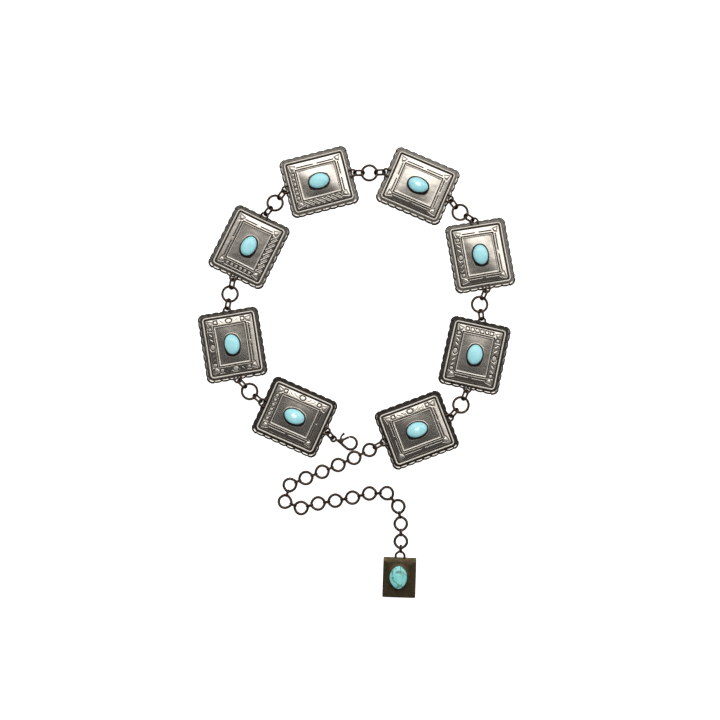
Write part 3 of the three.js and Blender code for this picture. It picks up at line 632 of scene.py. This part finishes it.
def concho_eye(sizes):
    """Wire eye at one end of a concho: a half circle with straight legs back over the rim."""
    arc = np.linspace(-np.pi / 2, np.pi / 2, 25)
    x, y = arch_path(3.2, 7, EYE_RADIUS * np.cos(arc), EYE_RADIUS, arc)
    path = level_path(EYE_REACH + x, y) * MM
    return rounded_bar(path, sizes.link_wire / 2, sizes.link_wire / 2, 12, 0.0004)


def pendant_loop():
    """Wire loop at the pendant's top: an arch that rises 3.7 mm to a soft point, with legs."""
    arc = np.linspace(-np.pi / 2, np.pi / 2, 31)
    rise = 3.1 * np.cos(arc) + 0.6 * np.exp(-(arc / 0.4) ** 2)
    x, y = arch_path(2.6, 6, rise, LOOP_HALF_WIDTH, arc)
    path = level_path(LOOP_PLACE + x, y, LOOP_LEVEL) * MM
    return rounded_bar(path, 1.0 * MM, 0.65 * MM, 12, 0.0004)


def ring_points(radius, wire, steps, sides, seed, pulls=(), pull=0.0):
    """Round wire ring, a torus whose radius wanders by under one per cent. Towards each heading
    that pulls on it the radius grows by pull times e to the power -(turn / 0.45) squared."""
    angle = turns(steps)
    phase = np.random.default_rng(seed).uniform(0, 2 * np.pi, 2)
    uneven = 0.006 * np.sin(2 * angle + phase[0]) + 0.004 * np.sin(3 * angle + phase[1])
    wander = radius * (1 + uneven)
    for heading in pulls:
        turn = np.angle(np.exp(1j * (angle - math.radians(heading))))
        wander += pull * np.exp(-(turn / 0.45) ** 2)
    return swept(round_path(wander, angle), wire / 2, wire / 2, sides, True)


def oval_points(size, wire, steps, sides):
    """Oval wire link along X, of a length and width in millimetres over the wire: two half circles
    joined by straight sides, at even steps."""
    length, width = size[0] * MM, size[1] * MM
    radius = (width - wire) / 2
    straight = length - width
    half_turn = np.pi * radius
    s = 2 * (straight + half_turn) * np.arange(steps) / steps
    first = np.clip(s, 0, half_turn) / radius
    second = np.clip(s - half_turn - straight, 0, half_turn) / radius
    angle = first + second - np.pi / 2
    slide = np.clip(s - half_turn, 0, straight) - np.clip(s - 2 * half_turn - straight, 0, straight)
    path = level_path(straight / 2 - slide + radius * np.cos(angle), radius * np.sin(angle))
    return swept(path, wire / 2, wire / 2, sides, True)


# Materials

def set_inputs(tree, node, inputs):
    """Sets each input of a node by name, or links it where a socket is given."""
    for name, value in inputs.items():
        if isinstance(value, bpy.types.NodeSocket):
            tree.links.new(value, node.inputs[name])
        else:
            node.inputs[name].default_value = value


def add_node(tree, kind, inputs=None, **settings):
    """Node with its settings and inputs."""
    node = tree.nodes.new(kind)
    for key, value in settings.items():
        setattr(node, key, value)
    set_inputs(tree, node, inputs or {})
    return node


def number_node(operation, first, second=0.0):
    """Result of an operation on a socket and a number or socket."""
    inputs = {0: first, 1: second}
    return add_node(first.id_data, "ShaderNodeMath", inputs, operation=operation).outputs[0]


def add(first, second):
    """Sum of a socket and a number or socket."""
    return number_node("ADD", first, second)


def multiply(first, second):
    """Product of a socket and a number or socket."""
    return number_node("MULTIPLY", first, second)


def noise_node(place, scale, detail, **inputs):
    """Cloudy noise by place."""
    inputs.update(Vector=place, Scale=scale, Detail=detail)
    return add_node(place.id_data, "ShaderNodeTexNoise", inputs).outputs[0]


def blend_node(share, first, second):
    """Mix of two colours by a share."""
    inputs = {0: share, 6: first, 7: second}
    return add_node(share.id_data, "ShaderNodeMix", inputs, data_type="RGBA").outputs[2]


def ramp_node(value, low, high, to_low=0.0, to_high=1.0):
    """Smooth change from one number to another while a value goes from low to high."""
    inputs = {"Value": value, "From Min": low, "From Max": high, "To Min": to_low,
              "To Max": to_high}
    node = add_node(value.id_data, "ShaderNodeMapRange", inputs, interpolation_type="SMOOTHSTEP")
    return node.outputs[0]


def colour(values):
    """Colour with full opacity."""
    return (*values, 1.0)


def new_group(name, numbers, result):
    """Empty node group from coordinates and some numbers to one result, with its sockets."""
    tree = bpy.data.node_groups.new(name, "ShaderNodeTree")
    tree.interface.new_socket("Coordinates", in_out="INPUT", socket_type="NodeSocketVector")
    for number in numbers:
        tree.interface.new_socket(number, in_out="INPUT", socket_type="NodeSocketFloat")
    tree.interface.new_socket(result, in_out="OUTPUT", socket_type="NodeSocketFloat")
    return tree, tree.nodes.new("NodeGroupInput").outputs, tree.nodes.new("NodeGroupOutput").inputs


def mottling_group():
    """Cloudy mask at a scale, with its edges set by low and high."""
    tree, given, result = new_group("Mottling", ("Scale", "Low", "High"), "Mask")
    cloud = noise_node(given["Coordinates"], given["Scale"], 5.0, Roughness=0.6)
    ramp = add_node(tree, "ShaderNodeMapRange", {
        "Value": cloud, "From Min": given["Low"], "From Max": given["High"]})
    tree.links.new(ramp.outputs[0], result["Mask"])
    return tree


def scratches_group():
    """Height of fine crossing scratches and soft dents: two stretched noises and a round one."""
    tree, given, result = new_group("Scratches and dents", ("Dents", "Scratches"), "Height")
    place = given["Coordinates"]
    lines = []
    for turn, stretch in ((0.4, (260, 5200, 260)), (1.9, (5200, 320, 320))):
        drawn = add_node(tree, "ShaderNodeMapping", {
            "Vector": place, "Rotation": (0, 0, turn), "Scale": stretch}).outputs[0]
        lines.append(noise_node(drawn, 1.0, 2.0))
    scratches = multiply(add(*lines), given["Scratches"])
    dents = multiply(noise_node(place, 190.0, 1.0), given["Dents"])
    tree.links.new(add(scratches, dents), result["Height"])
    return tree


def place_group(name, make, place, **inputs):
    """Output of a node group, made on first use, in a material with its own values."""
    inputs["Coordinates"] = place
    group = bpy.data.node_groups.get(name) or make()
    return add_node(place.id_data, "ShaderNodeGroup", inputs, node_tree=group).outputs[0]


def mottled(place, scale, low, high):
    """Cloudy mask on a piece."""
    return place_group("Mottling", mottling_group, place, Scale=scale, Low=low, High=high)


def scratched_normal(place, dents, scratches, distance):
    """Normal of a piece's scratches and dents, which are a distance high."""
    height = place_group("Scratches and dents", scratches_group, place, Dents=dents,
                         Scratches=scratches)
    bump = {"Height": height, "Distance": distance, "Strength": 1.0}
    return add_node(place.id_data, "ShaderNodeBump", bump).outputs[0]


def new_material(name):
    """Material with only a Principled shader; returns it, its tree, the shader and the piece's own
    coordinates."""
    material = bpy.data.materials.new(name)
    material.use_nodes = True
    tree = material.node_tree
    shader = tree.nodes["Principled BSDF"]
    coordinates = tree.nodes.new("ShaderNodeTexCoord").outputs["Object"]
    return material, tree, shader, coordinates


def silver_material(finishes):
    """Antique silver: polished high places, also painted brighter as highlights, cloudy tarnish,
    and black oxide in the recesses, whose mask also paints shade round the stones, along the rims
    and under the conchos. Where it is polished it is partly dull, so that it shows light from all
    sides."""
    material, tree, shader, place = new_material("antique silver")
    oxide_and_shade, polish_and_highlight = (
        add_node(tree, "ShaderNodeAttribute", attribute_name=mark).outputs["Fac"]
        for mark in ("oxide_and_shade", "polish_and_highlight"))
    grime_share, dulling = 0.3, 0.7
    cloud = mottled(place, 120.0, 0.35, 0.7)
    grime = mottled(place, 700.0, 0.3, 0.75)
    metal = blend_node(cloud, colour(finishes.silver), colour(finishes.tarnish))
    metal = blend_node(polish_and_highlight, metal, colour(finishes.polished))
    worn = multiply(add(oxide_and_shade, multiply(grime, grime_share)), oxide_and_shade)
    black = ramp_node(worn, 0.05, 0.8)
    metallic = number_node("SUBTRACT", ramp_node(black, 0.3, 1.0, 1.0, 0.25),
                           multiply(polish_and_highlight, dulling))
    set_inputs(tree, shader, {
        "Base Color": blend_node(black, metal, colour(finishes.oxide)),
        "Metallic": metallic,
        "Roughness": add(multiply(cloud, 0.05), ramp_node(black, 0.0, 1.0, 0.19, 0.5)),
        "Normal": scratched_normal(place, 0.3, 0.01, 0.0002),
    })
    return material


def dark_metal_material(name, base, light, roughness):
    """Dark metal with clouds of a lighter colour and fine scratches."""
    material, tree, shader, place = new_material(name)
    rubbed_and_glint = mottled(place, 240.0, 0.45, 0.75)
    set_inputs(tree, shader, {
        "Base Color": blend_node(rubbed_and_glint, colour(base), colour(light)),
        "Specular Tint": (0.12, 0.1, 0.09, 1.0),
        "Metallic": 1.0,
        "Roughness": ramp_node(rubbed_and_glint, 0.0, 1.0, roughness, roughness - 0.1),
        "Normal": scratched_normal(place, 0.4, 0.15, 0.0001),
    })
    return material


def stone_material(name, base, roughness, veined):
    """Polished turquoise: aqua with clouds of a paler blue, and veins where a broad noise passes
    its middle value, each vein darker and greener by the share veined."""
    material, tree, shader, place = new_material(name)
    pale = tuple(0.7 * value + 0.3 * top for value, top in zip(base, (0.62, 0.95, 1.0)))
    stone = blend_node(mottled(place, 170.0, 0.35, 0.7), colour(base), colour(pale))
    broad = noise_node(place, 95.0, 3.0, Distortion=0.6)
    crossing = number_node("ABSOLUTE", number_node("SUBTRACT", broad, 0.5))
    vein = ramp_node(crossing, 0.012, 0.05, veined, 0.0)
    set_inputs(tree, shader, {
        "Base Color": blend_node(vein, stone, (0.05, 0.2, 0.15, 1.0)),
        "Roughness": roughness,
        "Coat Weight": 0.3,
        "Coat Roughness": 0.08,
        "Subsurface Weight": 0.15,
        "Subsurface Scale": 0.003,
    })
    return material


def shared_material(name):
    """Material by name, made on first use from the scene's finishes."""
    if name in bpy.data.materials:
        return bpy.data.materials[name]
    finishes = bpy.context.scene.belt_finishes
    if name == "antique silver":
        return silver_material(finishes)
    if name == "dark wire":
        return dark_metal_material(name, finishes.wire, finishes.rubbed_wire, 0.38)
    if name == "pendant plate":
        return dark_metal_material(name, finishes.plate, finishes.plate_clouds, 0.42)
    if name == "pendant turquoise":
        return stone_material(name, finishes.pendant_turquoise, 0.25, 0.8)
    return stone_material(name, finishes.turquoise, 0.22, 0.0)


# Operators

class BELT_OT_conchos(bpy.types.Operator):
    """Add the eight stamped conchos with their wire eyes"""

    bl_idname = "belt.conchos"
    bl_label = "Add conchos"

    def execute(self, context):
        sizes = context.scene.belt_sizes
        silver = shared_material("antique silver")
        eye = concho_eye(sizes)
        for number, heading in enumerate(CONCHO_HEADINGS, 1):
            centre = node_middle(f"concho_{number}") * (1, 1, 0)
            points, marks = concho_shell(sizes, number)
            shell = skin(turned(points, centre, heading))
            make_piece(f"stamped_concho_{number}", [shell], silver, "belt",
                       [f"concho_{number}"], marks)
            ring = min(number, len(RING_LINK_HEADINGS))
            level = np.append(centre[:2], node_middle(f"ring_{ring}")[2])
            make_wire(f"concho_eyes_{number}",
                      [placed(eye, level, heading + half_turn) for half_turn in (0, 180)])
        return {"FINISHED"}


class BELT_OT_stones(bpy.types.Operator):
    """Add the oval turquoise stones"""

    bl_idname = "belt.stones"
    bl_label = "Add stones"

    def execute(self, context):
        sizes = context.scene.belt_sizes
        for number, heading in enumerate(CONCHO_HEADINGS, 1):
            add_stone(f"turquoise_{number}", f"stone_{number}",
                      stone_outline(turns(96), sizes, number), sizes.stone_height / MM, STONE_BASE,
                      heading, "polished turquoise")
        return {"FINISHED"}


class BELT_OT_rings(bpy.types.Operator):
    """Add the round rings and the oval links between the conchos"""

    bl_idname = "belt.rings"
    bl_label = "Add rings and links"

    def execute(self, context):
        sizes = context.scene.belt_sizes
        link = oval_points(SIDE_LINK, sizes.link_wire, 56, 12)
        for number, headings in enumerate(RING_LINK_HEADINGS, 1):
            ring = ring_points(RING_RADIUS * MM, sizes.ring_wire, 96, 16, number)
            make_link(f"ring_{number}", ring)
            for letter, heading in zip("ab", headings):
                make_link(f"link_{number}{letter}", link, heading, LINK_TILT)
        return {"FINISHED"}


class BELT_OT_chain(bpy.types.Operator):
    """Add the extension chain with its first link"""

    bl_idname = "belt.chain"
    bl_label = "Add extension chain"

    def execute(self, context):
        sizes = context.scene.belt_sizes
        link = oval_points(SIDE_LINK, sizes.link_wire, 56, 12)
        make_link("chain_start_link", link, CHAIN_HEADINGS[0], LINK_TILT)

        # The walk goes from the middle of one round link to the next
        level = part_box("extension_chain")[0].z + CHAIN_LEVEL * MM
        start = node_middle("chain_start_link")[:2]
        middle = start + heading_step(CHAIN_START * MM, CHAIN_HEADINGS[0])
        small = oval_points(SMALL_LINK, SMALL_WIRE * MM, 44, 10)
        ahead = (*CHAIN_HEADINGS[1:], PENDANT_LINK_HEADING)
        shells = []
        for number, heading in enumerate(CHAIN_HEADINGS):
            if number:
                join = middle + heading_step(CHAIN_PITCH / 2 * MM, heading)
                place = np.append(join, SMALL_LINK_LEVEL * MM)
                shells.append(skin(turned(small, place, heading, SMALL_LINK_TILT), True))
                middle = middle + heading_step(CHAIN_PITCH * MM, heading)
            ring = ring_points(CHAIN_RING_RADIUS * MM, sizes.chain_wire, 64, 12,
                               CHAIN_SEED + number, (heading + 180, ahead[number]),
                               CHAIN_PULL * MM)
            shells.append(skin(ring + np.append(middle, level), True))
        make_wire("extension_chain_links", shells, ["extension_chain"])

        link = oval_points(PENDANT_LINK, SMALL_WIRE * MM, 44, 10)
        make_link("pendant_link", link, PENDANT_LINK_HEADING, SMALL_LINK_TILT)
        return {"FINISHED"}


class BELT_OT_clasp(bpy.types.Operator):
    """Add the trigger clasp: its link, its hook and its gate with the thumb lever"""

    bl_idname = "belt.clasp"
    bl_label = "Add clasp"

    def execute(self, context):
        link = oval_points(CLASP_LINK, context.scene.belt_sizes.link_wire, 52, 12)
        make_link("clasp_link", link, CLASP_LINK_HEADING, LINK_TILT)

        pin = np.array(frame["joints"][0]["pos_m"])
        tail = pin - np.append(heading_step(CLASP_PIN * MM, CLASP_HEADING), 0)
        eye = skin(swept(round_path(2.3 * MM, turns(40)), 0.9 * MM, 0.9 * MM, 12, True), True)
        loop = np.linspace(-HOOK_NOSE, HOOK_NOSE, 60)
        path = level_path(
            np.concatenate([CLASP_NECK[:, 0], HOOK_MIDDLE + HOOK_RADIUS * np.cos(loop)]),
            np.concatenate([CLASP_NECK[:, 1], HOOK_RADIUS * np.sin(loop)])) * MM
        width = np.interp(np.linspace(0, 1, 40), *HOOK_HALF_WIDTHS) * MM
        hook = rounded_bar(path, width, width, 14, 0.0007)
        cheeks = [disc_shell(2.3, 0.8, (CLASP_PIN, 0, side * 1.2)) for side in (1, -1)]
        rivet = disc_shell(0.7, 3.4, (CLASP_PIN, 0, 0))
        make_wire("clasp_hook", [placed(shell, tail, CLASP_HEADING)
                                 for shell in (eye, hook, *cheeks, rivet)], ["clasp_body"])

        # Gate and lever from the pin: the lever bends as x = 5.9 t squared - 4.5 t, y = 7.2 t
        nose = np.array([HOOK_MIDDLE + HOOK_RADIUS * math.cos(HOOK_NOSE) - CLASP_PIN,
                         HOOK_RADIUS * math.sin(HOOK_NOSE)])
        end = nose * (1 - GATE_GAP / np.linalg.norm(nose))
        t = np.linspace(0, 1, 30)
        bars = [rounded_bar(level_path(x, y) * MM, np.array(half_widths) * MM,
                            GATE_HALF_HEIGHT * MM, 12, rounding)
                for x, y, half_widths, rounding in (
                    (end[0] * t, end[1] * t, GATE_HALF_WIDTHS, 0.0004),
                    (5.9 * t ** 2 - 4.5 * t, 7.2 * t, LEVER_HALF_WIDTHS, 0.0005))]
        hub = disc_shell(1.45, 1.0, (0, 0, 0))
        make_wire("clasp_trigger", [placed(shell, pin, CLASP_HEADING) for shell in (hub, *bars)],
                  ["clasp_gate"], "gate")
        return {"FINISHED"}


class BELT_OT_pendant(bpy.types.Operator):
    """Add the pendant's plate, loop and stone"""

    bl_idname = "belt.pendant"
    bl_label = "Add pendant"

    def execute(self, context):
        base = node_middle("pendant_stone") * (1, 1, 0)
        half_x, half_y = PENDANT_HALF_SIZES
        side, share, reach, half = rectangle_columns(half_x, half_y, 96, 112)
        inset = PENDANT_ROWS[:, 0, None]
        radius = np.interp(inset, [0, 6], [1.0, 0.6])
        x, y = on_sides(*border_loops(inset, radius, reach, half, share), side)
        outline = pointed_outline(np.arctan2(y[-1] * half_x, x[-1] * half_y))
        inner_x, inner_y = drawn_in(x[-1], y[-1], *outline, PENDANT_SEAT, STONE_SHIFT)
        x, y = np.concatenate([x, inner_x]), np.concatenate([y, inner_y])
        rows = np.concatenate([PENDANT_ROWS[:, 1], PENDANT_TOP + PENDANT_SEAT[:, 2]])
        z = rows[:, None] + 0 * x
        drop, start, end = PENDANT_BEND
        z -= drop * smooth_step(-x, start, end) * (z > 2)
        shell = skin(turned(np.stack([x, y, z], -1) * MM, base, PENDANT_HEADING))
        make_piece("pendant_dark_plate", [shell], shared_material("pendant plate"), "belt",
                   ["pendant_plate"])
        make_wire("pendant_loop", [placed(pendant_loop(), base, PENDANT_HEADING + 180)])
        x, y = pointed_outline(turns(120))
        add_stone("pendant_turquoise", "pendant_stone", (x, y + STONE_SHIFT), PENDANT_STONE[2],
                  PENDANT_STONE_BASE, PENDANT_HEADING, "pendant turquoise")
        return {"FINISHED"}


def pointed_outline(angle):
    """Outline of the pendant's stone in millimetres: x = half length times cos t, y = half width
    times |sin t| to the power 1.25 with the sine's sign, an oval drawn out to a point at both
    ends."""
    sine = np.sin(angle)
    return PENDANT_STONE[0] * np.cos(angle), PENDANT_STONE[1] * np.sign(sine) * np.abs(sine) ** 1.25


class BELT_OT_stage(bpy.types.Operator):
    """Add the floor, the lights and the camera"""

    bl_idname = "belt.stage"
    bl_label = "Add stage"

    def execute(self, context):
        stage = context.scene.belt_stage
        context.scene.view_settings.view_transform = "Standard"
        make_floor()
        make_world(stage)
        make_lamp("stone light", *STONE_LIGHT).visible_glossy = False
        for number, place, energy in GLINTS:
            lamp = make_lamp(f"glint {number}", place, GLINT_SIZE, energy)
            lamp.visible_diffuse = False
            glinting = bpy.data.collections.new(f"glinting stone {number}")
            glinting.objects.link(bpy.data.objects[f"turquoise_{number}"])
            lamp.light_linking.receiver_collection = glinting
        make_camera(stage)
        return {"FINISHED"}


def make_lamp(name, place, size, energy):
    """Square lamp that shines straight down."""
    data = bpy.data.lights.new(name, "AREA")
    data.energy = energy
    data.size = size
    lamp = bpy.data.objects.new(name, data)
    lamp.location = place
    bpy.context.scene.collection.objects.link(lamp)
    return lamp


def make_floor():
    """Plain floor, bright enough to read as white. Metal mirrors it as a darker one."""
    mesh = bpy.data.meshes.new("floor")
    mesh.from_pydata([(x * FLOOR_HALF, y * FLOOR_HALF, 0)
                      for x, y in ((-1, -1), (1, -1), (1, 1), (-1, 1))], [], [(0, 1, 2, 3)])
    material, tree, shader, _ = new_material("pale floor")
    mirrored = add_node(tree, "ShaderNodeLightPath").outputs["Is Glossy Ray"]
    set_inputs(tree, shader, {
        "Base Color": blend_node(mirrored, (0.9, 0.9, 0.9, 1.0), MIRRORED_FLOOR),
        "Emission Color": blend_node(mirrored, (1.0, 1.0, 1.0, 1.0), MIRRORED_FLOOR),
        "Roughness": 0.9, "Specular IOR Level": 0.0, "Emission Strength": 0.75})
    mesh.materials.append(material)
    floor = bpy.data.objects.new("floor", mesh)
    bpy.context.scene.collection.objects.link(floor)
    floor.location.z = -FLOOR_DROP


def make_world(stage):
    """Studio by direction: a dark ceiling, a big softbox from 10 degrees off the zenith towards +Y
    and a little +X, and grey walls all round but towards -Y."""
    world = bpy.data.worlds.new("studio")
    bpy.context.scene.world = world
    world.use_nodes = True
    tree = world.node_tree
    direction = add_node(tree, "ShaderNodeTexCoord").outputs["Generated"]
    x, y, z = add_node(tree, "ShaderNodeSeparateXYZ", {0: direction}).outputs
    behind = add(y, multiply(x, 0.25))
    softbox = multiply(ramp_node(behind, 0.17, 0.35),
                       ramp_node(z, 0.5, 0.85, 0.08, 1.0))
    walls = multiply(ramp_node(z, 0.85, 0.4), ramp_node(y, -0.5, 0.2))
    total = add(multiply(softbox, stage.softbox_strength),
                multiply(walls, stage.wall_strength))
    total = add(total, stage.overhead_strength)
    seen = add_node(tree, "ShaderNodeLightPath").outputs["Is Camera Ray"]
    strength = add_node(tree, "ShaderNodeMix", {0: seen, 2: total, 3: 1.0}, data_type="FLOAT")
    set_inputs(tree, tree.nodes["Background"], {
        "Strength": strength.outputs[0], "Color": (1.0, 0.97, 0.93, 1.0)})


def make_camera(stage):
    """Camera that looks down at the belt from the photo's angle."""
    data = bpy.data.cameras.new("camera")
    data.sensor_fit = "HORIZONTAL"
    data.angle = 2 * math.atan(stage.picture_width / 2 / stage.camera_distance)
    camera = bpy.data.objects.new("camera", data)
    bpy.context.scene.collection.objects.link(camera)
    look = Vector((0, math.cos(stage.camera_elevation), -math.sin(stage.camera_elevation)))
    camera.location = Vector(CAMERA_TARGET) - look * stage.camera_distance
    camera.rotation_euler = look.to_track_quat("-Z", "Y").to_euler()
    bpy.context.scene.camera = camera


class BELT_PT_panel(bpy.types.Panel):
    """Buttons and settings of the concho belt"""

    bl_idname = "BELT_PT_panel"
    bl_label = "Concho Belt"
    bl_space_type = "VIEW_3D"
    bl_region_type = "UI"
    bl_category = "Belt"

    def draw(self, context):
        for operator in OPERATORS:
            self.layout.operator(operator.bl_idname)
        for group in SETTINGS:
            settings = getattr(context.scene, group)
            for name in settings.bl_rna.properties.keys():
                if name not in ("rna_type", "name"):
                    self.layout.prop(settings, name)


OPERATORS = (BELT_OT_conchos, BELT_OT_stones, BELT_OT_rings, BELT_OT_chain, BELT_OT_clasp,
             BELT_OT_pendant, BELT_OT_stage)
SETTINGS = {"belt_sizes": BeltSizes, "belt_finishes": BeltFinishes, "belt_stage": BeltStage}
CLASSES = (*SETTINGS.values(), *OPERATORS, BELT_PT_panel)


def register():
    """Adds the classes, and the settings to the scene."""
    for cls in CLASSES:
        bpy.utils.register_class(cls)
    for name, group in SETTINGS.items():
        setattr(bpy.types.Scene, name, PointerProperty(type=group))


def unregister():
    """Takes out the settings and the classes."""
    for name in SETTINGS:
        delattr(bpy.types.Scene, name)
    for cls in reversed(CLASSES):
        bpy.utils.unregister_class(cls)


def main():
    """Builds the scene."""
    register()
    bpy.ops.belt.conchos()
    bpy.ops.belt.stones()
    bpy.ops.belt.rings()
    bpy.ops.belt.chain()
    bpy.ops.belt.clasp()
    bpy.ops.belt.pendant()
    bpy.ops.belt.stage()


if __name__ == "__main__":
    main()
